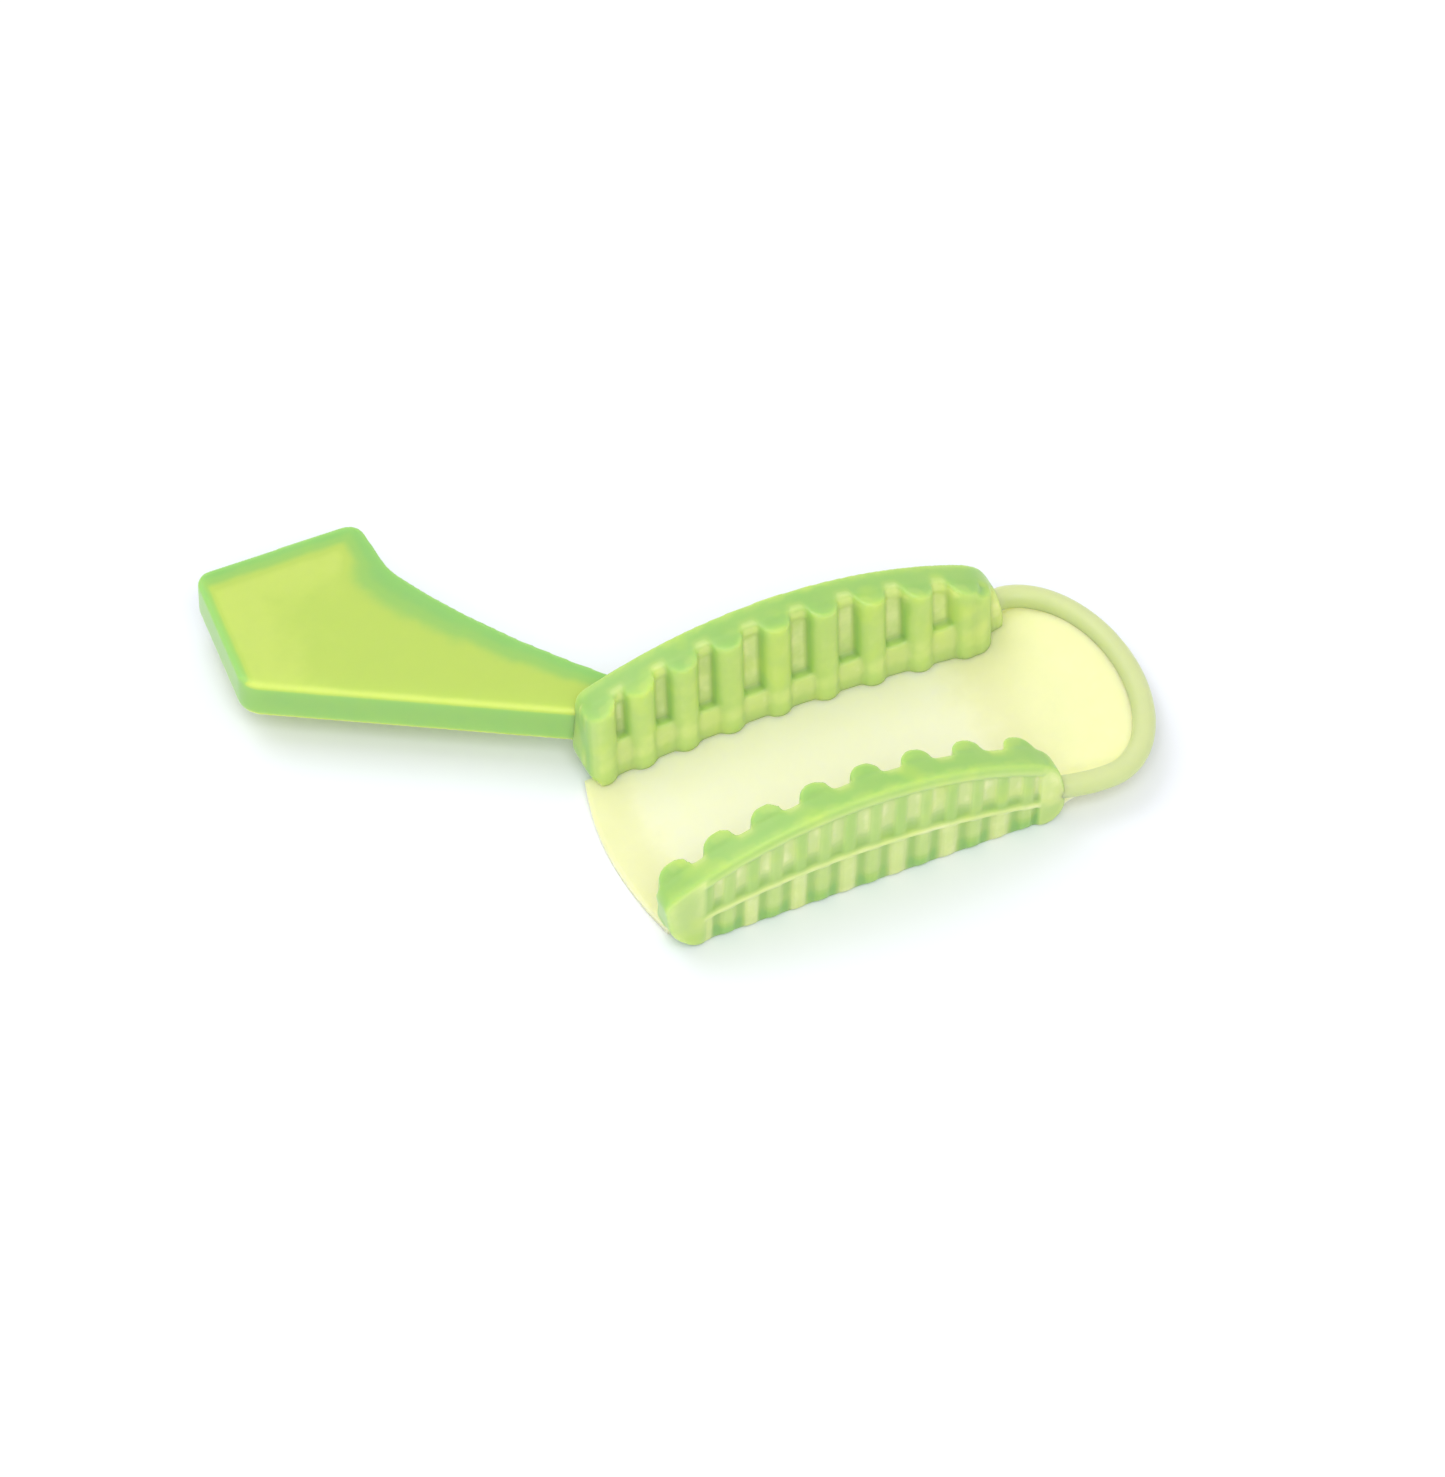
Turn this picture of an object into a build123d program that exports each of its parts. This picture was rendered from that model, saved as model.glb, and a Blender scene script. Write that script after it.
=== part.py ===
"""Finger toothbrush for pets: a soft moulded trough for a fingertip, with a pull tab.

Millimetres. X runs from the open rear of the trough to its tip, Y to the left, Z up.
The origin is on the resting plane, midway between the two sides, below the rear ribs.
The body is one soft moulding. Here each region that bends by itself is its own solid,
and thin gaps mark the lines along which the soft material folds.
"""
from build123d import *
from math import radians, cos, sin
import os

# ---- Driving dimensions ----
# Whole body
half_width = 13.9          # centre line to the outermost face of a side wall
wall_rear_x = -1.8         # rear end of both side walls
wall_front_x = 46.2        # front end of the left wall
right_wall_shorter = 4.8   # how much sooner the right wall ends, about one rib

# Side walls
web_thickness = 1.7        # solid web behind the outer ridges
ridge_height = 0.5         # how far the scrubbing ridges stand out of the web
wall_top_rear = 10.0       # height of the wall's top edge at its rear end
wall_top_crown = 15.2      # highest point of the arched top edge
wall_crown_share = 0.47    # where that point is, along the wall
wall_top_front = 10.8      # height where the front slope starts
front_slope_length = 2.6   # length of the slope at the front end
wall_nose_height = 6.6     # height of the front end below the slope
wall_corner_radius = 1.5

# Base rails, which the walls fold on
rail_height = 3.0
rail_thickness = 2.1
rail_front_overhang = 1.3  # how far a rail runs on past its wall, to hold the bead
rail_corner_radius = 1.8
fold_clearance = 0.3       # gap at each fold line

# Grip ribs on the inner faces
first_rib_x = 0.4
rib_pitch = 5.3
rib_front_margin = 3.2     # at least this far from a wall's front end to its last rib
rib_width = 3.3
rib_depth = 2.5
rib_floor_gap = 0.6        # below the ribs, above the highest point of the floor

# Scrubbing ridges on the outer faces
ridge_width = 1.1
ridges_per_rib = 2
ridge_top_margin = 1.5     # from the top edge down to the ends of the upright ridges
line_ridge_height = 0.8
middle_line_end_z = 4.8    # height of the middle line ridge at its ends
middle_line_rise = 1.6     # how much higher it is at the crown

# Floor membrane
floor_thickness = 0.9
floor_rear_lip = 1.5       # how far the lip reaches behind the origin
floor_lip_bulge = 1.3      # how far the lip's middle stands behind its ends
floor_arch = 1.9           # how far the middle of the floor is lifted
floor_arch_margin = 2.2    # from the arch's end, where the floor starts to rise, to the left wall's end
floor_front_z = 0.5        # height of the underside there
floor_embed = 0.4          # how far the floor's front edge is moulded into the bead

# Tip bead
bead_diameter = 2.4
bead_outset = -0.2         # its ends' centre line, out from the outer faces of the rails
bead_straight = 0.2        # from the left rail's end to where the bead turns into half an ellipse
bead_length = 8.2          # from there to its apex, at its centre line
bead_z = 4.2

# Pull tab
tab_angle = 134.5          # direction of the tab, from +X
tab_root_x = 5.0           # where the tab's centre line leaves the left wall
tab_bottom_z = 4.5
tab_thickness = 4.3
neck_half_width = 2.6
neck_length = 4.6          # from the web's outer face to the fold
fold_nose_radius = 1.6
fold_taper_length = 2.6
blade_fold_half = 0.8      # half thickness of the blade beside the fold
blade_length = 45.8        # from the web's outer face to the tip
# Corners: how far back from the tip, and how far to the left of the centre line
left_shoulder = (12.2, 12.4)
right_shoulder = (10.2, -11.4)
notch = (17.6, 7.5)        # inner corner below the left shoulder
blade_waist = (27.3, 4.8)  # a point on the curved left edge
shoulder_radius = 1.6
tip_radius = 1.4
notch_radius = 2.0

# ---- Values worked out from them ----
wall_fronts = {"left": wall_front_x, "right": wall_front_x - right_wall_shorter}
web_outer_y = half_width - ridge_height
web_inner_y = web_outer_y - web_thickness
web_middle_y = web_outer_y - web_thickness / 2
fold_z = rail_height + fold_clearance + web_thickness / 2
rail_inner_y = web_outer_y - rail_thickness
rib_bottom_z = floor_arch + floor_thickness + rib_floor_gap
bead_half_width = web_outer_y + bead_outset
bead_bend_x = wall_front_x + rail_front_overhang + bead_straight
floor_crown_x = wall_rear_x + wall_crown_share * (wall_front_x - wall_rear_x)
floor_arch_end_x = wall_front_x - floor_arch_margin
tab_middle_z = tab_bottom_z + tab_thickness / 2
tab_half = tab_thickness / 2
ridge_pitch = rib_pitch / ridges_per_rib
tall = 3 * wall_top_crown  # taller than anything in the model
sides = {"left": 1, "right": -1}
rib_counts = {
    name: int((front - rib_front_margin - first_rib_x) / rib_pitch) + 1
    for name, front in wall_fronts.items()
}

os.makedirs("parts", exist_ok=True)
made = []


def save(part, label):
    """Label a finished piece, write its STEP file and keep its name."""
    part.label = label
    export_step(part, f"parts/{label}.step")
    made.append(label)


def side_plane(y):
    """An upright plane along X at this Y: sketch X is X and sketch Y is Z."""
    return Plane(origin=(0, y, 0), x_dir=(1, 0, 0), z_dir=(0, -1, 0))


def wall_outline(name, bottom):
    """Side view of a wall, from this height up to its arched top edge."""
    rear, front = wall_rear_x, wall_fronts[name]
    crown = (rear + wall_crown_share * (front - rear), wall_top_crown)
    slope_start = (front - front_slope_length, wall_top_front)
    with BuildSketch(Plane.XY) as outline:
        with BuildLine():
            ThreePointArc((rear, wall_top_rear), crown, slope_start)
            Polyline(slope_start, (front, wall_nose_height), (front, bottom), (rear, bottom), (rear, wall_top_rear))
        make_face()
        top_corners = outline.vertices().filter_by(lambda v: v.Y > bottom + 0.01)
        fillet(top_corners, wall_corner_radius)
    return outline.sketch


# ---- Tip bead: a straight end on each side and half an ellipse round the fingertip ----
bead_end_x = {name: front + fold_clearance for name, front in wall_fronts.items()}

with BuildPart() as tip_bead:
    with BuildLine(Plane.XY.offset(bead_z)):
        for name, side in sides.items():
            Line((bead_end_x[name], side * bead_half_width), (bead_bend_x, side * bead_half_width))
        EllipticalCenterArc((bead_bend_x, 0), bead_length, bead_half_width, start_angle=-90, arc_size=180)
    with BuildSketch(Plane(origin=(bead_end_x["right"], -bead_half_width, bead_z), z_dir=(1, 0, 0))):
        Circle(bead_diameter / 2)
    sweep()
save(tip_bead.part, "tip_bead")


# ---- Base rails and side walls ----
def make_base_rail(name, side):
    """The foot of a wall: a bar with a raised front end that holds the bead."""
    front = wall_fronts[name] + rail_front_overhang
    with BuildPart() as rail:
        with BuildSketch(side_plane(side * web_outer_y)):
            with BuildLine():
                Polyline(
                    (wall_rear_x, 0), (front, 0), (front, bead_z), (bead_end_x[name], bead_z),
                    (bead_end_x[name], rail_height), (wall_rear_x, rail_height), close=True,
                )
            make_face()
        extrude(amount=side * rail_thickness)
        low_corners = rail.edges().filter_by(Axis.Y).group_by(Axis.Z)[0]
        fillet(low_corners, rail_corner_radius)
        add(tip_bead.part, mode=Mode.SUBTRACT)
    return rail.part


def make_wall(name, side):
    """A wall's web, arched on top, with a round lower edge that rolls on the rail."""
    with BuildPart() as wall:
        with BuildSketch(side_plane(side * web_outer_y)):
            add(wall_outline(name, bottom=fold_z))
        extrude(amount=side * web_thickness)
        with BuildSketch(Plane(origin=(wall_rear_x, side * web_middle_y, fold_z), z_dir=(1, 0, 0))):
            Circle(web_thickness / 2)
        extrude(amount=wall_fronts[name] - wall_rear_x)
    return wall.part


def make_rib(name, side, x):
    """One grip rib, with a round nose, cut off by the arch of the wall's top."""
    nose_y = web_inner_y - rib_depth + rib_width / 2
    with BuildPart() as rib:
        with BuildSketch(Plane.XY.offset(rib_bottom_z)):
            with Locations((x, side * nose_y)):
                Circle(rib_width / 2)
                Rectangle(rib_width, 2 * rib_depth, align=(Align.CENTER, Align.MIN if side > 0 else Align.MAX))
            with Locations((x, side * (web_inner_y - rib_depth / 2))):
                Rectangle(rib_width, rib_depth, mode=Mode.INTERSECT)
        extrude(amount=tall)
        with BuildSketch(side_plane(0)):
            add(wall_outline(name, bottom=0))
        extrude(amount=half_width, both=True, mode=Mode.INTERSECT)
    return rib.part


# ---- Scrubbing ridges ----
def ridge_positions(name):
    """Where the upright ridges stand along a wall."""
    count = (rib_counts[name] - 1) * ridges_per_rib + 1
    return [first_rib_x + i * ridge_pitch for i in range(count)]


def middle_line_points(name, lift):
    """Rear end, crown and front end of the middle line ridge, lifted by this much."""
    rear, front = wall_rear_x + wall_corner_radius, wall_fronts[name] - front_slope_length
    end_z = middle_line_end_z + lift
    return (rear, end_z), ((rear + front) / 2, end_z + middle_line_rise), (front, end_z)


def make_wall_ridges(name, side, cut=None):
    """The ridges on a wall's web: upright bars and an arched line across them."""
    with BuildPart() as ridges:
        with BuildSketch(side_plane(side * half_width)):
            with Locations(*[(x, tall / 2) for x in ridge_positions(name)]):
                Rectangle(ridge_width, tall)
        extrude(amount=side * ridge_height)
        with BuildSketch(side_plane(0)):
            add(wall_outline(name, bottom=fold_z - ridge_top_margin))
            offset(amount=-ridge_top_margin, mode=Mode.REPLACE)
        extrude(amount=half_width, both=True, mode=Mode.INTERSECT)
        with BuildSketch(side_plane(side * half_width)):
            with BuildLine():
                low_line = ThreePointArc(*middle_line_points(name, 0))
                high_line = ThreePointArc(*middle_line_points(name, line_ridge_height))
                Line(low_line @ 0, high_line @ 0)
                Line(low_line @ 1, high_line @ 1)
            make_face()
        extrude(amount=side * ridge_height)
        if cut:
            add(cut, mode=Mode.SUBTRACT)
    return ridges.part


def make_rail_ridges(name, side):
    """The lower ends of the upright ridges, on a base rail."""
    with BuildPart() as ridges:
        with BuildSketch(side_plane(side * half_width)):
            with Locations(*[(x, rail_height / 2) for x in ridge_positions(name)]):
                Rectangle(ridge_width, rail_height - 2 * fold_clearance)
        extrude(amount=side * ridge_height)
    return ridges.part


# ---- Pull tab ----
tab_direction = Vector(cos(radians(tab_angle)), sin(radians(tab_angle)), 0)
tab_root = Vector(tab_root_x, web_outer_y, tab_middle_z)
fold_point = tab_root + tab_direction * neck_length
# Sketch X is along the tab from its root, sketch Y to its left side as seen from the tip
tab_plan = Plane(origin=tab_root, x_dir=tab_direction, z_dir=(0, 0, -1))
tab_side = Plane(origin=fold_point, x_dir=tab_direction, z_dir=Vector(0, 0, 1).cross(tab_direction))


def from_tip(point):
    """A blade corner, measured from the tab's root instead of back from its tip."""
    return (blade_length - point[0], point[1])


with BuildPart() as tab_neck:
    with BuildSketch(tab_side):
        with BuildLine():
            Polyline(
                (-2 * neck_length, -tab_half), (-fold_taper_length, -tab_half), (0, -fold_nose_radius),
                (0, fold_nose_radius), (-fold_taper_length, tab_half), (-2 * neck_length, tab_half), close=True,
            )
        make_face()
        Circle(fold_nose_radius)
    extrude(amount=neck_half_width, both=True)
    split(bisect_by=Plane(origin=tab_root, z_dir=(0, 1, 0)), keep=Keep.TOP)
save(tab_neck.part, "tab_neck")

with BuildPart() as pull_tab:
    with BuildSketch(tab_plan) as blade:
        with BuildLine():
            ThreePointArc((0, neck_half_width), from_tip(blade_waist), from_tip(notch))
            Polyline(
                from_tip(notch), from_tip(left_shoulder), (blade_length, 0), from_tip(right_shoulder),
                (0, -neck_half_width), (0, neck_half_width),
            )
        make_face()
        rounded_corners = [
            ((blade_length, 0), tip_radius), (from_tip(left_shoulder), shoulder_radius),
            (from_tip(right_shoulder), shoulder_radius), (from_tip(notch), notch_radius),
        ]
        for point, radius in rounded_corners:
            fillet(blade.vertices().sort_by_distance((*point, 0))[0], radius)
    extrude(amount=tab_half, both=True)
    with BuildSketch(tab_side):
        with BuildLine():
            Polyline(
                (0, blade_fold_half), (fold_taper_length * 2, tab_half), (fold_taper_length * 2, tall),
                (-neck_length * 2, tall), (-neck_length * 2, -tall), (fold_taper_length * 2, -tall),
                (fold_taper_length * 2, -tab_half), (0, -blade_fold_half), close=True,
            )
        make_face()
        Circle(fold_nose_radius + fold_clearance)
    extrude(amount=blade_length, both=True, mode=Mode.SUBTRACT)
save(pull_tab.part, "pull_tab")

# ---- Floor membrane ----
floor_apex_length = bead_length - bead_diameter / 2 + floor_embed


def floor_line(lift):
    """The floor's side profile, lifted by this much: an arch, then a rise to the bead."""
    arch_start = (-floor_rear_lip - floor_thickness, lift)
    arch_end = (floor_arch_end_x, floor_front_z + lift)
    bead_apex = (bead_bend_x + bead_length, bead_z - floor_thickness / 2 + lift)
    arch = ThreePointArc(arch_start, (floor_crown_x, floor_arch + lift), arch_end)
    rise = TangentArc(arch_end, bead_apex, tangent=(1, 0))
    return arch @ 0, rise @ 1


with BuildPart() as floor_membrane:
    with BuildSketch(side_plane(0)):
        with BuildLine():
            rear_low, front_low = floor_line(0)
            rear_high, front_high = floor_line(floor_thickness)
            Line(rear_low, rear_high)
            Line(front_low, front_high)
        make_face()
    extrude(amount=half_width, both=True)
    with BuildSketch(Plane.XY):
        with BuildLine():
            lip_end = floor_lip_bulge - floor_rear_lip
            ThreePointArc((lip_end, rail_inner_y), (-floor_rear_lip, 0), (lip_end, -rail_inner_y))
            Line((lip_end, -rail_inner_y), (bead_bend_x, -rail_inner_y))
            EllipticalCenterArc((bead_bend_x, 0), floor_apex_length, rail_inner_y, start_angle=-90, arc_size=180)
            Line((bead_bend_x, rail_inner_y), (lip_end, rail_inner_y))
        make_face()
    extrude(amount=tall, both=True, mode=Mode.INTERSECT)
save(floor_membrane.part, "floor_membrane")

# ---- Both sides ----
for name, side in sides.items():
    save(make_base_rail(name, side), f"{name}_base_rail")
    save(make_wall(name, side), f"{name}_wall")
    save(make_wall_ridges(name, side, tab_neck.part if name == "left" else None), f"{name}_wall_ridges")
    save(make_rail_ridges(name, side), f"{name}_rail_ridges")
    for i in range(rib_counts[name]):
        save(make_rib(name, side, first_rib_x + i * rib_pitch), f"{name}_grip_rib_{i + 1}")

print(len(made), "pieces")
print("wall fold axis: y =", round(web_middle_y, 3), "z =", round(fold_z, 3))
print("tab fold point:", fold_point)
print("tab fold axis:", tab_direction.cross(Vector(0, 0, 1)))
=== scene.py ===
# %% [markdown]
# # A soft, translucent finger toothbrush
# The object is one soft moulding: a trough for a fingertip, with gripping ribs inside, a
# scrubbing grid outside, a bead round the tip and a pull tab. The engineering model is
# loaded first and stays fixed. Every visible piece is then modelled over it.

# %% Load the frame
import math

import bmesh
import bpy
from mathutils import Matrix, Vector
from mathutils.bvhtree import BVHTree


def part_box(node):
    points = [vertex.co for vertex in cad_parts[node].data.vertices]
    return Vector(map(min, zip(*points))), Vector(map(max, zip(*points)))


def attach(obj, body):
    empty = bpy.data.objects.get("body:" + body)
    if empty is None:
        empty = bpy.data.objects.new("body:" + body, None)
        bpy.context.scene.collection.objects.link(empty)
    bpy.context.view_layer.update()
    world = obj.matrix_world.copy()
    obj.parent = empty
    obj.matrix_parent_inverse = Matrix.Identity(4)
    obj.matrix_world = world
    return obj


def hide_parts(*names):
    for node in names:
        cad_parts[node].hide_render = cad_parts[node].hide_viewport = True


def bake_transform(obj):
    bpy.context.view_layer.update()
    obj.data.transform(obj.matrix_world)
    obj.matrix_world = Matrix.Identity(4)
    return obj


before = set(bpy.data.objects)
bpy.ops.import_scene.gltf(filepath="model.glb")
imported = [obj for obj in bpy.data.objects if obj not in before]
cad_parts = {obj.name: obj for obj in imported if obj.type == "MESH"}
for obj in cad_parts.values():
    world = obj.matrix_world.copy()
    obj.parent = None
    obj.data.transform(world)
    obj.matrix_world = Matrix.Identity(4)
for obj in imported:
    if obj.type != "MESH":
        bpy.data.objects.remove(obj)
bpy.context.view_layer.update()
MM = 0.001
print("nodes:", len(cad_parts))

# %% [markdown]
# The camera comes first, because every later choice is judged through it. A long lens far
# away flattens the perspective, which is how small products are usually shot. Its place is
# worked out from two angles and a distance, so it is easy to turn later.

# %% Camera
VIEW_AZIMUTH = math.radians(24.5)
VIEW_ELEVATION = math.radians(49)
VIEW_DISTANCE = 0.8
VIEW_TARGET = Vector((13.3, 5.6, 6.7)) * MM
VIEW_LENS = 197.3


def add_camera():
    """A long-lens camera that looks down at the target."""
    level = math.cos(VIEW_ELEVATION)
    forward = Vector((
        math.sin(VIEW_AZIMUTH) * level, math.cos(VIEW_AZIMUTH) * level, -math.sin(VIEW_ELEVATION),
    ))
    data = bpy.data.cameras.new("studio_camera")
    data.lens = VIEW_LENS
    data.sensor_fit = "HORIZONTAL"
    camera = bpy.data.objects.new("studio_camera", data)
    camera.location = VIEW_TARGET - forward * VIEW_DISTANCE
    camera.rotation_euler = forward.to_track_quat("-Z", "Y").to_euler()
    bpy.context.scene.collection.objects.link(camera)
    bpy.context.scene.camera = camera
    return camera


print("camera at", [round(c, 3) for c in add_camera().location])

# %% [markdown]
# A white table, a bright even sky and two large soft lights keep the shadow faint. The
# main light stands near the camera, so it reaches into the trough and between the ribs.
# The second one stands high behind the object and puts a soft shadow in front of it.

# %% Studio
SKY_STRENGTH = 0.72
TABLE_HALF_SIZE = 3.0
TABLE_COLOUR = (0.88, 0.895, 0.97, 1.0)  # a little blue, so that its shadows look cool
LIGHTS = {  # place and size in metres, power in watts
    "main_light": ((-0.14, -0.42, 0.62), 0.4, 2.5),
    "back_light": ((-0.20, 0.30, 0.65), 0.5, 1.5),
}


def add_area_light(name, place, size, power):
    """A square soft light at this place that faces the object."""
    data = bpy.data.lights.new(name, "AREA")
    data.size = size
    data.energy = power
    light = bpy.data.objects.new(name, data)
    light.location = place
    light.rotation_euler = (VIEW_TARGET - Vector(place)).to_track_quat("-Z", "Y").to_euler()
    bpy.context.scene.collection.objects.link(light)
    return light


def add_studio():
    """The table, the sky and the lights."""
    world = bpy.data.worlds.new("studio_sky")
    world.use_nodes = True
    sky = world.node_tree.nodes["Background"]
    sky.inputs["Color"].default_value = (1.0, 1.0, 1.0, 1.0)
    sky.inputs["Strength"].default_value = SKY_STRENGTH
    bpy.context.scene.world = world
    bm = bmesh.new()
    bmesh.ops.create_grid(bm, x_segments=1, y_segments=1, size=TABLE_HALF_SIZE)
    mesh = bpy.data.meshes.new("table")
    bm.to_mesh(mesh)
    bm.free()
    table = bpy.data.objects.new("table", mesh)
    bpy.context.scene.collection.objects.link(table)
    finish = bpy.data.materials.new("table_white")
    finish.use_nodes = True
    shader = finish.node_tree.nodes["Principled BSDF"]
    shader.inputs["Base Color"].default_value = TABLE_COLOUR
    shader.inputs["Roughness"].default_value = 0.8
    mesh.materials.append(finish)
    for name, (place, size, power) in LIGHTS.items():
        add_area_light(name, place, size, power)
    bpy.context.scene.view_settings.view_transform = "Standard"


add_studio()

# %% [markdown]
# ## The material
# A soft elastomer lets light in, tints it and scatters it. Where it is thin it looks pale
# yellow, and where it is thick it looks green. So each piece carries an attribute, depth,
# that says how thick it should look at each point, and one recipe turns it into colour.
# In places the rules also paint light and shade into depth: painted highlights, glints, and
# parts painted paler or greener to make up for how the light falls on them.
# A weak glow stands for the light that has crossed the whole piece from its far side.

# %% Soft elastomer
def display_colour(red, green, blue):
    """A colour given as it looks on a display, 0 to 255, made linear for the shader."""
    def linear(value):
        share = value / 255
        return share / 12.92 if share <= 0.04045 else ((share + 0.055) / 1.055) ** 2.4

    return (linear(red), linear(green), linear(blue), 1.0)


INNER_GLOW = 0.1
BRIGHTEST = 0.98  # no surface gives back all the light it gets
CLOUD_SCALE, CLOUD_STRENGTH = 420.0, 0.22
PATCH_SCALE, PATCH_START, PATCH_FULL = 260.0, 0.56, 0.72
PATCH_COLOUR = (208, 222, 92)
GRAIN_SCALE, GRAIN_STRENGTH, GRAIN_HEIGHT = 2500.0, 0.1, 0.04 * MM
SCATTER_SHARES, SCATTER_DISTANCE = (1.0, 1.0, 0.45), 3 * MM
MIX_FIRST, MIX_SECOND = 6, 7  # the two colour inputs of a mix node


def add_noise(nodes, links, place, scale, detail=2.0):
    """A noise that stays fixed to the object."""
    noise = nodes.new("ShaderNodeTexNoise")
    noise.inputs["Scale"].default_value = scale
    noise.inputs["Detail"].default_value = detail
    links.new(place.outputs["Object"], noise.inputs["Vector"])
    return noise


def add_cloudy_depth(nodes, links, place):
    """The depth attribute, made a little uneven."""
    depth = nodes.new("ShaderNodeAttribute")
    depth.attribute_name = "depth"
    cloud = add_noise(nodes, links, place, CLOUD_SCALE, 3.0)
    uneven = nodes.new("ShaderNodeMath")
    uneven.operation = "MULTIPLY_ADD"
    uneven.inputs[1].default_value = CLOUD_STRENGTH
    links.new(cloud.outputs["Fac"], uneven.inputs[0])
    links.new(depth.outputs["Fac"], uneven.inputs[2])
    centred = nodes.new("ShaderNodeMath")
    centred.operation = "SUBTRACT"
    centred.inputs[1].default_value = CLOUD_STRENGTH / 2
    links.new(uneven.outputs[0], centred.inputs[0])
    return centred


def add_ramp(nodes, stops, light):
    """A ramp from depth to colour. The strength of the light is taken out of its colours."""
    ramp = nodes.new("ShaderNodeValToRGB")
    ramp.color_ramp.interpolation = "EASE"
    elements = ramp.color_ramp.elements
    while len(elements) < len(stops):
        elements.new(0.5)
    for element, (position, colour) in zip(elements, stops):
        element.position = position
        shades = [min(c / light, BRIGHTEST) for c in display_colour(*colour)[:3]]
        element.color = (*shades, 1.0)
    return ramp


# %% Patches and grain
def add_patches(nodes, links, place, ramp, strength):
    """Warm yellow spots over the ramp's colour."""
    noise = add_noise(nodes, links, place, PATCH_SCALE, 1.0)
    peaks = nodes.new("ShaderNodeMapRange")
    peaks.inputs["From Min"].default_value = PATCH_START
    peaks.inputs["From Max"].default_value = PATCH_FULL
    peaks.inputs["To Max"].default_value = strength
    links.new(noise.outputs["Fac"], peaks.inputs["Value"])
    mix = nodes.new("ShaderNodeMix")
    mix.data_type = "RGBA"
    mix.inputs[MIX_SECOND].default_value = display_colour(*PATCH_COLOUR)
    links.new(peaks.outputs["Result"], mix.inputs["Factor"])
    links.new(ramp.outputs["Color"], mix.inputs[MIX_FIRST])
    return mix


def add_grain(nodes, links, place, shader):
    """The fine grain that a mould leaves on soft plastic."""
    noise = add_noise(nodes, links, place, GRAIN_SCALE)
    bump = nodes.new("ShaderNodeBump")
    bump.inputs["Strength"].default_value = GRAIN_STRENGTH
    bump.inputs["Distance"].default_value = GRAIN_HEIGHT
    links.new(noise.outputs["Fac"], bump.inputs["Height"])
    links.new(bump.outputs["Normal"], shader.inputs["Normal"])


def soft_elastomer(name, stops, light, shine=0.32, patches=0.0):
    """A translucent soft plastic. Its stops are pairs of depth and colour seen in this light.

    Patches is how strongly warm yellow spots, where the colour is unevenly mixed, show.
    """
    material = bpy.data.materials.new(name)
    material.use_nodes = True
    nodes, links = material.node_tree.nodes, material.node_tree.links
    shader = nodes["Principled BSDF"]
    place = nodes.new("ShaderNodeTexCoord")
    ramp = add_ramp(nodes, stops, light)
    links.new(add_cloudy_depth(nodes, links, place).outputs[0], ramp.inputs["Fac"])
    mixed = add_patches(nodes, links, place, ramp, patches)
    links.new(mixed.outputs[2], shader.inputs["Base Color"])
    links.new(ramp.outputs["Color"], shader.inputs["Emission Color"])
    add_grain(nodes, links, place, shader)
    shader.inputs["Emission Strength"].default_value = INNER_GLOW
    shader.inputs["Roughness"].default_value = shine
    shader.inputs["IOR"].default_value = 1.45
    shader.inputs["Specular IOR Level"].default_value = 0.35
    shader.inputs["Subsurface Weight"].default_value = 1.0
    shader.inputs["Subsurface Radius"].default_value = SCATTER_SHARES
    shader.inputs["Subsurface Scale"].default_value = SCATTER_DISTANCE
    return material


# %% Finishes
GREEN = [
    (0.0, (252, 255, 200)), (0.15, (219, 235, 155)), (0.35, (198, 224, 138)),
    (0.62, (181, 216, 122)), (1.0, (157, 207, 116)),
]
PALE = [(0.0, (251, 250, 202)), (0.5, (232, 232, 176)), (1.0, (216, 222, 160))]
BEAD = [(0.0, (228, 236, 180)), (0.5, (217, 230, 166)), (1.0, (202, 224, 146))]
LIME = [
    (0.0, (206, 226, 114)), (0.25, (195, 219, 105)), (0.7, (163, 209, 112)), (1.0, (150, 205, 116)),
]
# Painted light: each finish's colours are divided by how much light falls where it sits. The
# membrane, in the walls' shade, is divided by the least, so it is painted brighter to make up for
# that shade.
FINISHES = {
    "green_wall": soft_elastomer("green_wall", GREEN, 1.28, patches=0.2),
    "pale_yellow_membrane": soft_elastomer("pale_yellow_membrane", PALE, 1.0),
    "lime_bead": soft_elastomer("lime_bead", BEAD, 1.43),
    "lime_tab": soft_elastomer("lime_tab", LIME, 1.22, shine=0.28),
}
print("finishes:", sorted(FINISHES))

# %% [markdown]
# ## Helpers
# Every piece is a mesh in millimetres until it is whole. Two helpers matter most. One fuses
# overlapping shells into a single skin and softens its edges, as pouring them in one mould
# would. The other measures how thick the piece is behind each point.

# %% Mesh helpers
def add_mesh(bm, mesh):
    """Adds a mesh to a bmesh, then removes the mesh."""
    bm.from_mesh(mesh)
    bpy.data.meshes.remove(mesh)


def as_object(bm, name):
    """A bmesh as a linked object."""
    mesh = bpy.data.meshes.new(name)
    bm.to_mesh(mesh)
    bm.free()
    item = bpy.data.objects.new(name, mesh)
    bpy.context.scene.collection.objects.link(item)
    return item


def shaped_mesh(item):
    """The mesh that an object's modifiers or curve settings give. The object goes."""
    shaped = item.evaluated_get(bpy.context.evaluated_depsgraph_get())
    mesh = bpy.data.meshes.new_from_object(shaped)
    bpy.data.objects.remove(item)
    return mesh


def mould_together(bm, voxel, rounds):
    """Fuses overlapping shells into one skin with soft edges."""
    item = as_object(bm, "mould")
    remesh = item.modifiers.new("fuse", "REMESH")
    remesh.mode = "VOXEL"
    remesh.voxel_size = voxel
    soften = item.modifiers.new("soften", "SMOOTH")
    soften.factor = 0.5
    soften.iterations = rounds
    skin = bmesh.new()
    add_mesh(skin, shaped_mesh(item))
    return skin


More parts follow.
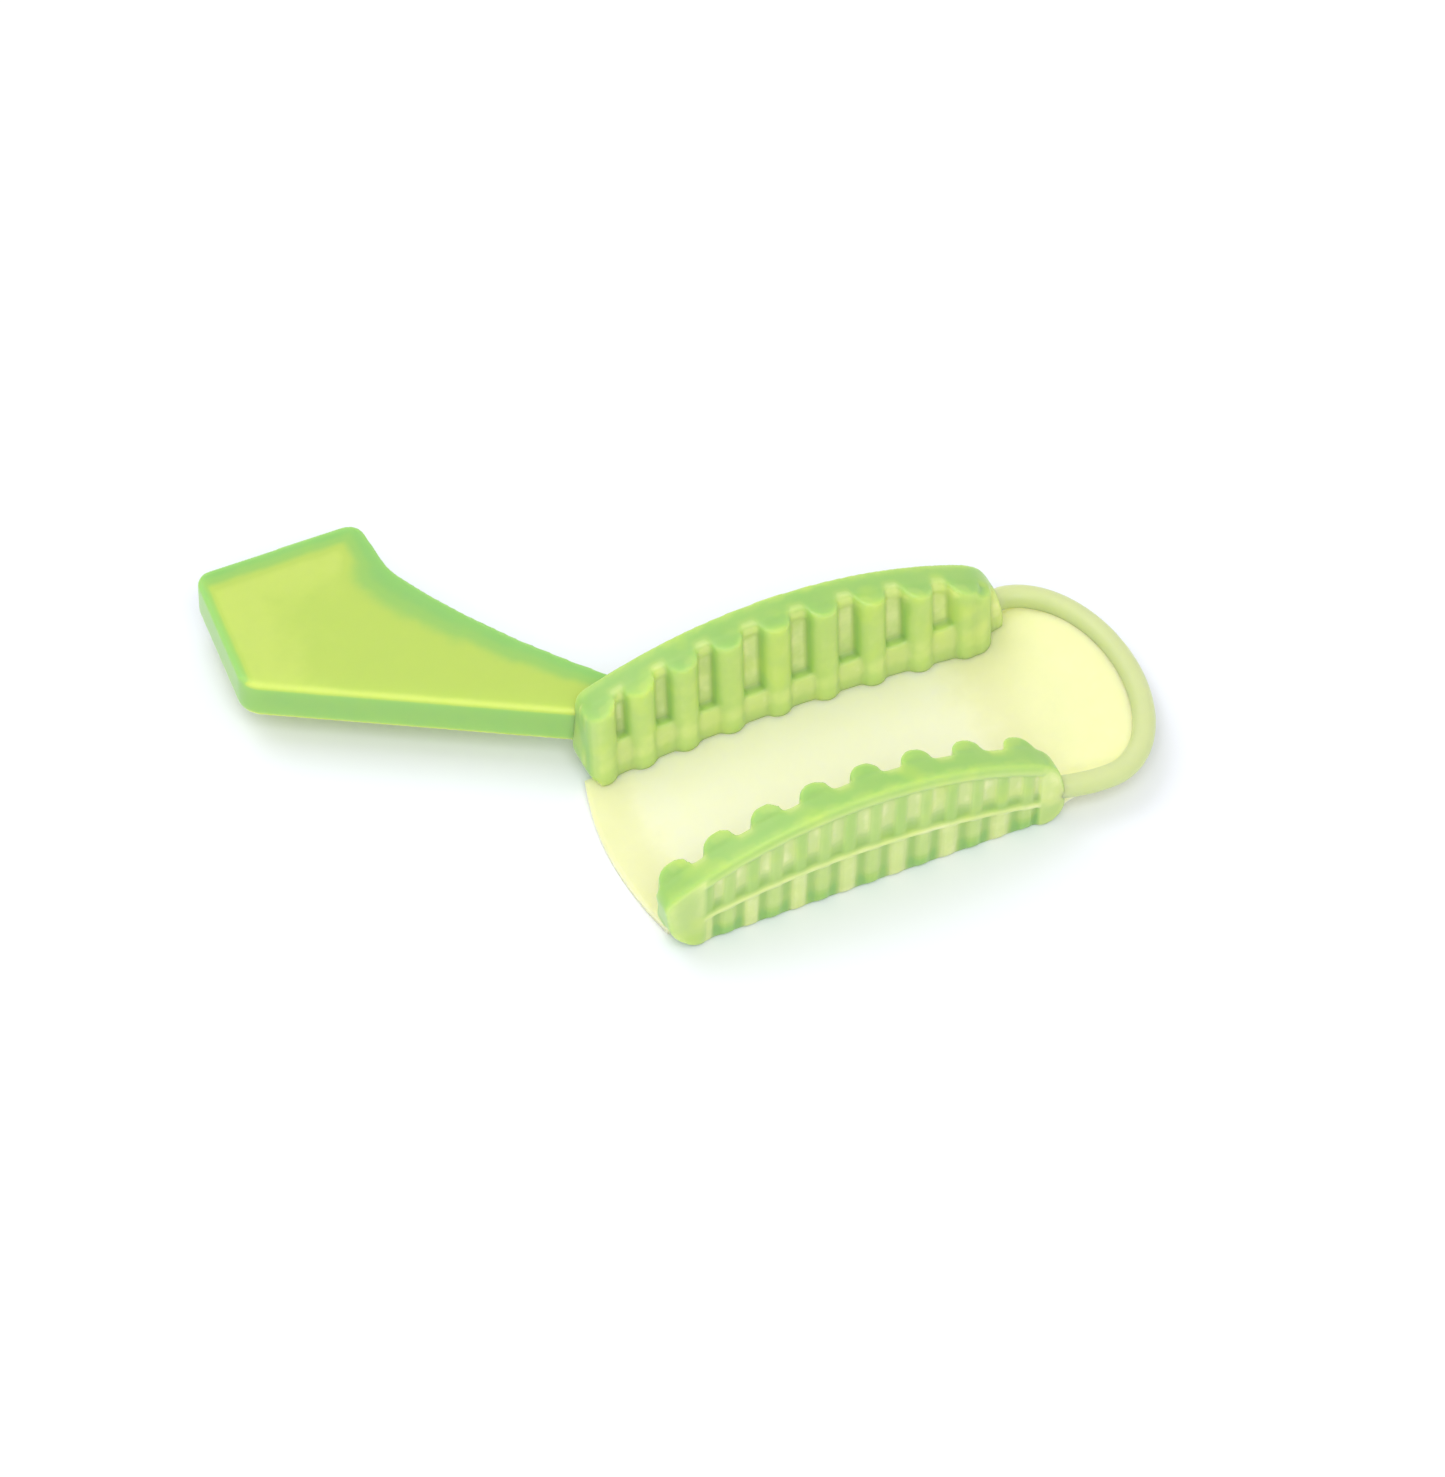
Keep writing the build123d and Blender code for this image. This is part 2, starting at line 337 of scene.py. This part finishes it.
def add_bar(bm, low, high):
    """Adds a closed box between two corners."""
    low, high = Vector(low), Vector(high)
    place = Matrix.Translation((low + high) / 2) @ Matrix.Diagonal((*(high - low), 1.0))
    bmesh.ops.create_cube(bm, size=1.0, matrix=place)


def add_tube(bm, points, radius):
    """Adds a round tube that follows these points."""
    data = bpy.data.curves.new("tube", "CURVE")
    data.dimensions = "3D"
    data.bevel_depth = radius
    data.bevel_resolution = 8
    data.use_fill_caps = True
    spline = data.splines.new("NURBS")
    spline.points.add(len(points) - 1)
    for point, place in zip(spline.points, points):
        point.co = (*place, 1.0)
    spline.order_u = 4
    spline.use_endpoint_u = True
    spline.resolution_u = 8
    tube = bpy.data.objects.new("tube", data)
    bpy.context.scene.collection.objects.link(tube)
    add_mesh(bm, shaped_mesh(tube))
    bmesh.ops.remove_doubles(bm, verts=bm.verts, dist=1e-4)


def add_slab(bm, outline, corners, inner, outer):
    """Adds a slab from an outline in X and Z, with some of its corners rounded."""
    slab = bmesh.new()
    verts = [slab.verts.new((x, inner, z)) for x, z in outline]
    slab.faces.new(verts)
    for index, reach in corners.items():
        bmesh.ops.bevel(
            slab, geom=[verts[index]], offset=reach, offset_type="OFFSET", segments=6,
            profile=0.5, affect="VERTICES", material=-1,
        )
    grown = bmesh.ops.extrude_face_region(slab, geom=slab.faces[:])
    moved = [v for v in grown["geom"] if isinstance(v, bmesh.types.BMVert)]
    bmesh.ops.translate(slab, vec=(0, outer - inner, 0), verts=moved)
    bmesh.ops.recalc_face_normals(slab, faces=slab.faces)
    mesh = bpy.data.meshes.new("slab")
    slab.to_mesh(mesh)
    slab.free()
    add_mesh(bm, mesh)


# %% Depth and finish
DEPTH_REACH = 9.0  # nothing looks thicker than this
RAY_START = 0.05  # a ray starts just under the skin, so that it misses its own face


def soften_values(bm, layer):
    """Replaces each point's value by the mean of itself and its neighbours."""
    means = []
    for vert in bm.verts:
        near = [edge.other_vert(vert)[layer] for edge in vert.link_edges]
        means.append((vert[layer] + sum(near)) / (1 + len(near)))
    for vert, value in zip(bm.verts, means):
        vert[layer] = value


def measure_depth(bm, rule, rounds=2):
    """Stores a value from 0, thin, to 1, thick, that a rule makes from the depth in mm."""
    layer = bm.verts.layers.float.new("depth")
    bm.normal_update()
    tree = BVHTree.FromBMesh(bm)
    for vert in bm.verts:
        inward = -vert.normal
        hit = tree.ray_cast(vert.co + inward * RAY_START, inward, DEPTH_REACH)
        depth = hit[3] if hit[0] else DEPTH_REACH
        vert[layer] = min(max(rule(vert.co, vert.normal, depth), 0.0), 1.0)
    for _ in range(rounds):
        soften_values(bm, layer)


def make_piece(bm, name, slot, stands_for):
    """Turns a bmesh in millimetres into a finished object in metres, at the origin."""
    bmesh.ops.scale(bm, vec=(MM, MM, MM), verts=bm.verts)
    piece = as_object(bm, name)
    for face in piece.data.polygons:
        face.use_smooth = True
    piece.data.materials.append(FINISHES[slot])
    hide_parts(*stands_for)
    print(name, len(piece.data.polygons), "faces")
    return piece


# %% Curves and steps
def arc_through(a, b, c):
    """A function of x: the height of the circle through three points."""
    rows = Matrix(((b[0] - a[0], b[1] - a[1]), (c[0] - b[0], c[1] - b[1])))
    middles = Vector((
        (b[0] ** 2 - a[0] ** 2 + b[1] ** 2 - a[1] ** 2) / 2,
        (c[0] ** 2 - b[0] ** 2 + c[1] ** 2 - b[1] ** 2) / 2,
    ))
    centre = rows.inverted() @ middles
    radius = (centre - Vector(a)).length
    upward = 1 if b[1] > centre.y else -1
    return lambda x: centre.y + upward * math.sqrt(max(radius ** 2 - (x - centre.x) ** 2, 0.0))


def ease(value, start, end):
    """0 before start, 1 after end, and a smooth step between them."""
    t = min(max((value - start) / (end - start), 0.0), 1.0)
    return t * t * (3 - 2 * t)


# %% [markdown]
# ## Sizes
# Places come from the frame. A few named sizes describe what the frame doesn't hold, such
# as how the floor is dished at the tip.

# %% Sizes from the frame
def size_mm(node):
    """A node's lowest and highest corners in millimetres."""
    low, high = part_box(node)
    return low / MM, high / MM


SIDES = {"left": 1, "right": -1}
WEB_OUT = size_mm("left_wall")[1].y
WEB_IN = size_mm("left_wall")[0].y
RIDGE_OUT = size_mm("left_wall_ridges")[1].y
WALL_REAR = size_mm("left_wall")[0].x
RIB_IN = size_mm("left_grip_rib_5")[0].y
RIB_WIDTH = size_mm("left_grip_rib_5")[1].x - size_mm("left_grip_rib_5")[0].x
WALL_FRONT = {name: size_mm(f"{name}_wall")[1].x for name in SIDES}
CAP_FRONT = {name: size_mm(f"{name}_base_rail")[1].x for name in SIDES}
RIB_SHIFTS = {
    "left": [1.7, 0.8, 0.3, 0.0, 0.0, 0.0, 0.0, 0.0, 0.0],
    "right": [0.2, -0.3, -0.5, -0.5, -0.3, 0.0, 0.4, 0.9],
}


def rib_nodes(name):
    """The frame's ribs of one wall, from rear to front."""
    nodes = [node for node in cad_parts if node.startswith(name + "_grip_rib")]
    return sorted(nodes, key=lambda node: int(node.split("_")[-1]))


def middle_x(node):
    """Where the middle of a node lies along the finger."""
    low, high = size_mm(node)
    return (low.x + high.x) / 2


RIB_NODES = {name: rib_nodes(name) for name in SIDES}
RIBS = {
    name: [middle_x(node) + shift for node, shift in zip(RIB_NODES[name], RIB_SHIFTS[name])]
    for name in SIDES
}
CROWN = size_mm("left_wall")[1].z
FLOOR_LOW = size_mm("floor_membrane")[0]
BEAD_LOW, BEAD_HIGH = size_mm("tip_bead")
BEAD_Z = (BEAD_LOW.z + BEAD_HIGH.z) / 2
BEAD_RADIUS = (BEAD_HIGH.z - BEAD_LOW.z) / 2
BEAD_HALF_WIDTH = BEAD_HIGH.y - BEAD_RADIUS
BEAD_APEX = BEAD_HIGH.x - BEAD_RADIUS
BEAD_BEND = CAP_FRONT["left"] + 0.2
print("web from", round(WEB_IN, 2), "to", round(WEB_OUT, 2))
print("ribs:", {name: [round(x, 1) for x in places] for name, places in RIBS.items()})

# %% [markdown]
# ## Floor membrane
# The floor is a thin sheet: arched along the finger, with a round lip at the rear, and
# dished up to meet the bead at the tip. A grid is the right start for a sheet. Its rows are
# moved onto the outline, its height comes from a formula, and then it gets its thickness.

# %% Floor membrane
FLOOR_THICKNESS = 0.9
FLOOR_REAR_Z, FLOOR_CROWN_Z, FLOOR_FRONT_Z = 0.9, 2.8, 1.4
FLOOR_CROWN_X = 21.0
FLOOR_ARCH_END = WALL_FRONT["left"] - 2.2
RISE_LEAD = 4.0  # the floor starts to rise this far before its arch ends
EDGE_SHARE = 0.55  # beyond this share of the half width the floor curves up to the bead
FLOOR_SIDE_MARGIN = 0.6
FLOOR_WALL_MARGIN = 2.6
FLOOR_REAR_CURVE = {"left": 1.7, "right": 1.3}
FLOOR_ROWS, FLOOR_COLUMNS = 110, 48
STRAIGHT_SHARE = 0.8  # share of the rows before the round tip
TIP_TURN = math.radians(89.0)  # just short of a quarter, so that the last row keeps a width

floor_arch = arc_through(
    (FLOOR_LOW.x, FLOOR_REAR_Z), (FLOOR_CROWN_X, FLOOR_CROWN_Z), (FLOOR_ARCH_END, FLOOR_FRONT_Z),
)


def floor_top(x, y):
    """Height of the floor's upper face."""
    along = floor_arch(min(x, FLOOR_ARCH_END))
    rise = ease(x, FLOOR_ARCH_END - RISE_LEAD, BEAD_APEX)
    wall_end = CAP_FRONT["left" if y > 0 else "right"]
    beside_bead = ease(x, wall_end - 3, wall_end + 4)
    edge = ease(abs(y) / BEAD_HALF_WIDTH, EDGE_SHARE, 1.0) * beside_bead
    return along + (BEAD_Z - along) * max(rise, edge)


def floor_place(along, across):
    """Where a point goes. Along runs from 0 to 1, across from -1 to 1."""
    side = "left" if across > 0 else "right"
    wall_end = CAP_FRONT[side]
    reached = FLOOR_LOW.x + (BEAD_BEND - FLOOR_LOW.x) * along / STRAIGHT_SHARE
    past_wall = ease(reached, wall_end - 4, wall_end - 1)
    margin = FLOOR_WALL_MARGIN + (FLOOR_SIDE_MARGIN - FLOOR_WALL_MARGIN) * past_wall
    half = BEAD_HALF_WIDTH - margin
    if along < STRAIGHT_SHARE:
        start = FLOOR_LOW.x + FLOOR_REAR_CURVE[side] * across ** 2
        x = start + (BEAD_BEND - start) * along / STRAIGHT_SHARE
        y = half * across
    else:
        angle = TIP_TURN * (along - STRAIGHT_SHARE) / (1 - STRAIGHT_SHARE)
        x = BEAD_BEND + (BEAD_APEX - BEAD_BEND) * math.sin(angle)
        y = half * math.cos(angle) * across
    return (x, y, floor_top(x, y))


# %% Lay and thicken the floor
def floor_value_with_painted_light(place, normal, depth):
    """Painted light: the floor is painted palest between the walls, to make up for their shade, and
    deeper at its rear and tip, which get more light. It is a little deeper at its edges too.
    """
    past_rear = ease(place.x, -1.0, 6.0)
    near_tip = ease(place.x, FLOOR_ARCH_END - 8, FLOOR_ARCH_END + 2)
    return 0.6 - 0.5 * past_rear * (1 - near_tip) + 0.3 * (1 - abs(normal.z))


def make_floor():
    """The floor: a grid laid on its outline, lifted to its height and thickened."""
    bm = bmesh.new()
    bmesh.ops.create_grid(bm, x_segments=FLOOR_ROWS, y_segments=FLOOR_COLUMNS, size=1.0)
    for vert in bm.verts:
        vert.co = floor_place((vert.co.x + 1) / 2, vert.co.y)
    bmesh.ops.recalc_face_normals(bm, faces=bm.faces)
    if sum(face.normal.z for face in bm.faces) < 0:
        bmesh.ops.reverse_faces(bm, faces=bm.faces)
    bmesh.ops.solidify(bm, geom=bm.faces[:], thickness=FLOOR_THICKNESS)
    bmesh.ops.recalc_face_normals(bm, faces=bm.faces)
    measure_depth(bm, floor_value_with_painted_light)
    return make_piece(bm, "floor_membrane_skin", "pale_yellow_membrane", ["floor_membrane"])


floor = make_floor()
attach(floor, "root")

# %% [markdown]
# ## Tip bead
# The bead is a round tube bent round the fingertip. A curve with a round section makes it
# in one go. Its ends run into the ends of the walls, so they need no caps of their own.

# %% Tip bead
BEAD_STEPS = 24
# Each end of the bead as pairs: along from the wall's front end, inwards from the bead's side.
BEAD_ENDS = {
    "right": [(-3.5, 1.6), (-0.8, 0.9), (2.0, 0.1)],
    "left": [(-1.6, 0.8), (-3.6, 1.6)],
}


def bead_end(name):
    """The points of one end of the bead, which starts inside a wall."""
    return [
        Vector((CAP_FRONT[name] + along, SIDES[name] * (BEAD_HALF_WIDTH - inwards), BEAD_Z))
        for along, inwards in BEAD_ENDS[name]
    ]


def make_bead():
    """The bead as a tube along half an ellipse, with both ends inside the walls."""
    tip = []
    for i in range(BEAD_STEPS + 1):
        angle = math.pi * (i / BEAD_STEPS - 0.5)
        x = BEAD_BEND + (BEAD_APEX - BEAD_BEND) * math.cos(angle)
        tip.append(Vector((x, BEAD_HALF_WIDTH * math.sin(angle), BEAD_Z)))
    bm = bmesh.new()
    add_tube(bm, bead_end("right") + tip + bead_end("left"), BEAD_RADIUS)
    bmesh.ops.recalc_face_normals(bm, faces=bm.faces)
    # Painted light: the bead's top is painted paler and its underside greener, as if lit from
    # above.
    measure_depth(bm, lambda place, normal, depth: 0.5 - 0.35 * normal.z)
    return make_piece(bm, "tip_bead_tube", "lime_bead", ["tip_bead"])


bead = make_bead()
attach(bead, "root")

# %% [markdown]
# ## Side walls
# A wall is a flat web with an arched top edge. Outside it has a raised frame, upright bars
# and an arched line across them, which scrub. Inside it has round-nosed columns that grip,
# a ledge along the floor and a thin lip along the top. Each part is a simple closed shell.
# All shells of a wall are fused into one skin, because the real wall is one moulding.

# %% Wall outline
TOP_REAR, TOP_FRONT, CROWN_SHARE = 10.0, 10.8, 0.47
ARCH_STEPS = 30
LEAN = 0.06
FRONT_SLOPE = 2.6
REAR_REACH, REAR_SLOPE = 2.5, 1.2
REAR_X = {"left": (0.0, 0.7), "right": (-0.9, WALL_REAR)}
REAR_DROP = {"left": 0.4, "right": 1.6}


def wall_arch(name, lower=0.0):
    """The wall's top edge as a function of x, or a line below it."""
    rear, front = WALL_REAR, WALL_FRONT[name]
    return arc_through(
        (rear, TOP_REAR - lower - REAR_DROP[name]),
        (rear + CROWN_SHARE * (front - rear), CROWN - lower),
        (front - FRONT_SLOPE, TOP_FRONT - lower),
    )


def wall_outline(name):
    """Side view of a wall, and how far back each corner is rounded."""
    arch, front = wall_arch(name), CAP_FRONT[name]
    slope_x, (rear_low, rear_x) = front - 2.7, REAR_X[name]
    outline = [
        (rear_low, 3.0), (rear_low + REAR_REACH, 0.1), (front - 1.6, 0.0),
        (front - 0.1, 1.5), (front, 4.6), (front - 1.0, 8.6),
    ]
    for i in range(ARCH_STEPS + 1):
        x = slope_x + (rear_x - slope_x) * i / ARCH_STEPS
        outline.append((x, arch(x)))
    corners = {0: 1.2, 1: 1.2, 2: 0.8, 3: 0.8, 4: 1.2, 5: 1.2, 6: 1.1, len(outline) - 1: 1.0}
    return outline, corners


# %% [markdown]
# The outer grid lies in a field inside a raised frame. Its colour follows what a thin wall
# shows: pale pockets between green bars above the arched line, and the shapes of the inner
# ribs below it. The two arched lines are painted pale, as painted highlights.

# %% Outer field
FIELD_REAR = 2.7
FIELD_FRONT_MARGIN = 2.9
THIN, MIDDLING, THICK = 0.13, 0.55, 0.6
# Painted highlight: the value that the two arched lines are painted with.
LINE_HIGHLIGHT_VALUE = 0.12


def middle_line(name):
    """The arched line across the bars, as a function of x."""
    front = CAP_FRONT[name]
    return arc_through((FIELD_REAR, 4.5), (front * 0.55, 6.5), (front, 2.9))


def nearest(x, places):
    """The distance from x to the nearest of some places."""
    return min(abs(x - place) for place in places)


def field_value(place, ribs, bars, ridge_z, middle_z):
    """How green the outer grid looks at a place: pockets are thin, bars and ribs thick, and the
    arched lines carry painted highlights.
    """
    bar_gap = nearest(place.x, bars)
    rib_gap = nearest(place.x, ribs)
    share = (ridge_z - place.z) / (ridge_z - middle_z)
    pocket = 0.9 * ease(bar_gap, 0.35, 0.85) * ease(share, 0.1, 0.22) * (1 - ease(share, 0.6, 0.85))
    upper = THICK - 0.1 * ease(1.6 - rib_gap, 0.0, 1.0) - 0.5 * pocket
    rib_side = math.exp(-((rib_gap - 1.35) / 0.35) ** 2)
    column = 0.3 + 0.5 * rib_side + 0.6 * ease(2.8 - place.z, 0.0, 1.8)
    lower = THIN + (column - THIN) * ease(1.9 - rib_gap, 0.0, 0.4)
    value = lower + (upper - lower) * ease(place.z - middle_z, -0.4, 0.3)
    # Painted highlights: the two arched lines are painted pale.
    middle_line_highlight = ease(0.55 - abs(place.z - middle_z), 0.0, 0.3)
    ridge_line_highlight = 0.6 * ease(0.5 - abs(place.z - ridge_z + 0.2), 0.0, 0.3)
    value += (LINE_HIGHLIGHT_VALUE - value) * max(middle_line_highlight, ridge_line_highlight)
    return value + (MIDDLING - value) * ease(place.z, ridge_z - 0.1, ridge_z + 0.4)


def field_steps(name):
    """Evenly spaced places along the field of one wall."""
    front = CAP_FRONT[name] - FIELD_FRONT_MARGIN
    return [FIELD_REAR + (front - FIELD_REAR) * i / ARCH_STEPS for i in range(ARCH_STEPS + 1)]


def rib_gaps(name):
    """The middles of the gaps between the ribs of one wall."""
    return [(a + b) / 2 for a, b in zip(RIBS[name], RIBS[name][1:])]


def field_bars(name):
    """Where the upright bars stand: over each rib but the first, and over each gap."""
    return RIBS[name][1:] + rib_gaps(name)


# %% [markdown]
# The shells of a wall overlap a little, and that is enough for the fuse to join them. Ribs
# end below the floor's upper face, so that no slit opens where they meet it.

# %% Wall shells
BAR_WIDTH = 1.1
OVERLAP = 0.4
LEDGE_TOP, LEDGE_IN = 6.4, 9.9
LEDGE_PAST_RIB = 1.9
WEB_GROWTH = 0.6
FRONT_COLUMN = {"left": 1.3, "right": 0.4}
RIB_DROP, FRONT_COLUMN_DROP = 0.1, 0.5
RIB_FOOT_DEPTH = 0.6


def add_rib(bm, name, x, drop=RIB_DROP):
    """Adds one round-nosed column, cut off along the arch, with a softened top."""
    rib, side, arch = bmesh.new(), SIDES[name], wall_arch(name)
    nose = RIB_IN + RIB_WIDTH / 2
    bmesh.ops.create_cone(
        rib, cap_ends=True, segments=36, radius1=RIB_WIDTH / 2, radius2=RIB_WIDTH / 2, depth=2.0,
        matrix=Matrix.Translation((x, side * nose, 0)),
    )
    block = sorted((side * nose, side * (WEB_IN + OVERLAP)))
    add_bar(rib, (x - RIB_WIDTH / 2, block[0], -1.0), (x + RIB_WIDTH / 2, block[1], 1.0))
    slope_end = REAR_X[name][0] + REAR_REACH
    for vert in rib.verts:
        x, y, z = vert.co
        foot = max(floor_top(x, y) - RIB_FOOT_DEPTH, REAR_SLOPE * (slope_end - x))
        vert.co.z = arch(x) - drop if z > 0 else foot
    mesh = bpy.data.meshes.new("rib")
    rib.to_mesh(mesh)
    rib.free()
    add_mesh(bm, mesh)


def add_frame(bm, name):
    """The raised frame round the outer field, as one bent slab."""
    side, ridge_line, steps = SIDES[name], wall_arch(name, 1.0), field_steps(name)
    outline, corners = wall_outline(name)
    inner_edge = [(FIELD_REAR, 0.3)] + [(x, ridge_line(x) - 0.5) for x in steps]
    inner_edge.append((steps[-1], 0.3))
    moved_corners = {(index - 2) % len(outline): reach for index, reach in corners.items()}
    add_slab(
        bm, outline[2:] + outline[:2] + inner_edge, moved_corners,
        side * (WEB_OUT - OVERLAP), side * (RIDGE_OUT - 0.1),
    )


def add_outer_grid(bm, name):
    """The upright bars and the two arched lines across them."""
    side, ridge_line, middle = SIDES[name], wall_arch(name, 1.0), middle_line(name)
    bar_y = sorted((side * (WEB_OUT - OVERLAP), side * (WEB_OUT + 0.2)))
    for x in field_bars(name):
        low = (x - BAR_WIDTH / 2, bar_y[0], 0.5)
        add_bar(bm, low, (x + BAR_WIDTH / 2, bar_y[1], ridge_line(x)))
    line_y = side * (RIDGE_OUT - 0.45)
    add_tube(bm, [(x, line_y, ridge_line(x) - 0.2) for x in field_steps(name)], 0.5)
    add_tube(bm, [(x, line_y, middle(x)) for x in field_steps(name)], 0.42)


def add_grip(bm, name):
    """The ledge along the floor, the lip along the top and the ribs."""
    side, arch, ribs = SIDES[name], wall_arch(name), RIBS[name]
    ledge_y = sorted((side * LEDGE_IN, side * (WEB_IN + OVERLAP)))
    ledge_end = ribs[-1] + LEDGE_PAST_RIB
    add_bar(bm, (ribs[0], ledge_y[0], 0.4), (ledge_end, ledge_y[1], LEDGE_TOP))
    lip_y = side * (WEB_IN - 0.1)
    add_tube(bm, [(x, lip_y, arch(x) - 0.9) for x in field_steps(name)], 0.75)
    for x in ribs:
        add_rib(bm, name, x)
    add_rib(bm, name, ribs[-1] + FRONT_COLUMN[name], FRONT_COLUMN_DROP)


# %% [markdown]
# A wall's colour starts from its measured depth. Low on the inner face, by the ledge, it is
# painted paler to make up for the shade there, and the feet of the ribs are greener. The
# upward faces of the top edge are painted greener to make up for the strong light from
# above, with painted pale glints over the gaps.

# %% Walls
WALL_VOXEL, WALL_ROUNDS = 0.2, 8
WEB_DEPTH = 2.1


def wall_rule(name):
    """The rule that turns a place and a depth into a value for one wall."""
    side, ridge_line, middle = SIDES[name], wall_arch(name, 1.0), middle_line(name)
    field_front, gaps, bars = field_steps(name)[-1], rib_gaps(name), field_bars(name)

    def rule(place, normal, depth):
        value = 0.06 + 0.11 * (depth - WEB_DEPTH)
        inner_face = ease(-normal.y * side, 0.3, 0.8)
        # Painted light: the inner face below the ledge top is painted paler, to make up for the
        # shade low in the trough.
        value -= 0.08 * inner_face * ease(LEDGE_TOP + 0.8 - place.z, 0.0, 1.8)
        value += 0.2 * ease(floor_top(place.x, place.y) + 2.4 - place.z, 0.0, 2.0)
        # Painted light: upward faces high on the wall are painted greener against the strong light
        # from above, and pale painted glints mark the gaps.
        if normal.z > 0.5 and place.z > 8:
            inner_edge = WEB_IN - 0.2 + LEAN * (place.z - CROWN / 2)
            gap_glint = ease(1.0 - nearest(place.x, gaps), 0.0, 0.4)
            gap_glint *= ease(0.55 - abs(abs(place.y) - inner_edge), 0.0, 0.3)
            value = max(value, THICK) - 0.4 * gap_glint
        if normal.y * side > 0.3 and FIELD_REAR < place.x < field_front:
            value = field_value(place, RIBS[name], bars, ridge_line(place.x), middle(place.x))
        return value

    return rule


def make_wall(name):
    """One wall with its rail, ribs and outer grid, as one soft skin."""
    bm, side = bmesh.new(), SIDES[name]
    outline, corners = wall_outline(name)
    add_slab(bm, outline, corners, side * (WEB_IN - WEB_GROWTH), side * (WEB_OUT - 0.1))
    add_frame(bm, name)
    add_outer_grid(bm, name)
    add_grip(bm, name)
    skin = mould_together(bm, WALL_VOXEL, WALL_ROUNDS)
    for vert in skin.verts:
        vert.co.y += side * LEAN * (vert.co.z - CROWN / 2)
    measure_depth(skin, wall_rule(name))
    parts = ["wall", "wall_ridges", "base_rail", "rail_ridges"]
    stands_for = [f"{name}_{part}" for part in parts] + RIB_NODES[name]
    return make_piece(skin, f"{name}_wall_moulding", "green_wall", stands_for)


for wall_name in SIDES:
    wall = make_wall(wall_name)
    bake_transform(wall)

# %% [markdown]
# ## Pull tab
# The tab is a flat blade shaped like the end of a necktie. Its outline is a flat polygon in
# the tab's own plane, with a curved left edge and round corners, extruded and softened.
# Light that enters its far edges is bent back up, so those edges look like green bands,
# and these bands of bent light are painted onto its upper face.

# %% Pull tab
TAB_ANGLE = math.radians(134.5)
TAB_ALONG = Vector((math.cos(TAB_ANGLE), math.sin(TAB_ANGLE), 0))
TAB_LEFT = Vector((math.sin(TAB_ANGLE), -math.cos(TAB_ANGLE), 0))
TAB_ROOT = Vector((5.0, WEB_OUT, 0))
TAB_LOW, TAB_HIGH = size_mm("pull_tab")
TAB_SHRINK = 0.35
TAB_OUTLINE = [
    (-3.7, 2.6), (0.0, 2.7), (6.0, 3.2), (12.0, 3.95), (18.5, 5.2), (23.5, 6.5), (28.2, 8.1),
    (33.8, 13.0), (46.6, 0.1), (36.0, -12.0), (1.4, -2.8),
]
TAB_CORNERS = {5: 1.2, 6: 1.2, 7: 1.6, 8: 1.5, 9: 1.6}
TAB_HIGHLIGHT_EDGE = 9
TAB_END_EDGES = (7, 8)
TAB_VOXEL, TAB_ROUNDS = 0.25, 20
TAB_BANDS = {0: 2.4, 1: 2.6, 2: 3.0, 3: 3.4, 4: 4.0, 5: 4.4, 6: 3.2, 7: 2.7, 8: 1.1}


def gap_to_edge(u, v, i):
    """Distance in the tab's plane from a point to one edge of its outline."""
    a, b = Vector(TAB_OUTLINE[i]), Vector(TAB_OUTLINE[i + 1])
    share = min(max((Vector((u, v)) - a).dot(b - a) / (b - a).length_squared, 0.0), 1.0)
    return (Vector((u, v)) - a - (b - a) * share).length


def band_at(u, v):
    """How strongly the green band shows at this place on the tab's upper face."""
    return max(
        1 - ease(gap_to_edge(u, v, i), width * 0.15, width * 1.35)
        for i, width in TAB_BANDS.items()
    )


def tab_value(place, normal, depth):
    """Green sides, painted bands of bent light, a yellow middle, and a painted highlight along the
    near edge.
    """
    u, v, z = place
    face = ease(abs(normal.z), 0.5, 0.9)
    to_end = min(gap_to_edge(u, v, i) for i in TAB_END_EDGES)
    inner = 1 - ease(to_end, 3.5, 11.0)
    upper = ease(z, TAB_HIGH.z - 0.7, TAB_HIGH.z - 0.3)
    lower = ease(TAB_LOW.z + 0.3 - z, 0.0, 0.4)
    # Painted highlight: a pale line along the top and bottom rims of the near edge.
    rim_highlight = ease(0.7 - gap_to_edge(u, v, TAB_HIGHLIGHT_EDGE), 0.0, 0.4) * max(upper, lower)
    on_face = 0.25 - 0.2 * inner + (0.75 + 0.2 * inner) * band_at(u, v)
    return (0.8 * (1 - face) + face * on_face) * (1 - rim_highlight)


# %% Blade
def make_tab():
    """The blade and its neck, in one piece."""
    bm = bmesh.new()
    verts = [bm.verts.new((u, v, TAB_LOW.z - TAB_SHRINK)) for u, v in TAB_OUTLINE]
    bm.faces.new(verts)
    for index, reach in TAB_CORNERS.items():
        bmesh.ops.bevel(
            bm, geom=[verts[index]], offset=reach, offset_type="OFFSET", segments=6, profile=0.5,
            affect="VERTICES", material=-1,
        )
    grown = bmesh.ops.extrude_face_region(bm, geom=bm.faces[:])
    moved = [v for v in grown["geom"] if isinstance(v, bmesh.types.BMVert)]
    bmesh.ops.translate(bm, vec=(0, 0, TAB_HIGH.z - TAB_LOW.z + TAB_SHRINK), verts=moved)
    skin = mould_together(bm, TAB_VOXEL, TAB_ROUNDS)
    measure_depth(skin, tab_value, rounds=1)
    for vert in skin.verts:
        u, v, z = vert.co
        vert.co = TAB_ROOT + TAB_ALONG * u + TAB_LEFT * v + Vector((0, 0, z))
    bmesh.ops.recalc_face_normals(skin, faces=skin.faces)
    return make_piece(skin, "pull_tab_blade", "lime_tab", ["pull_tab", "tab_neck"])


tab = make_tab()
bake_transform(tab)
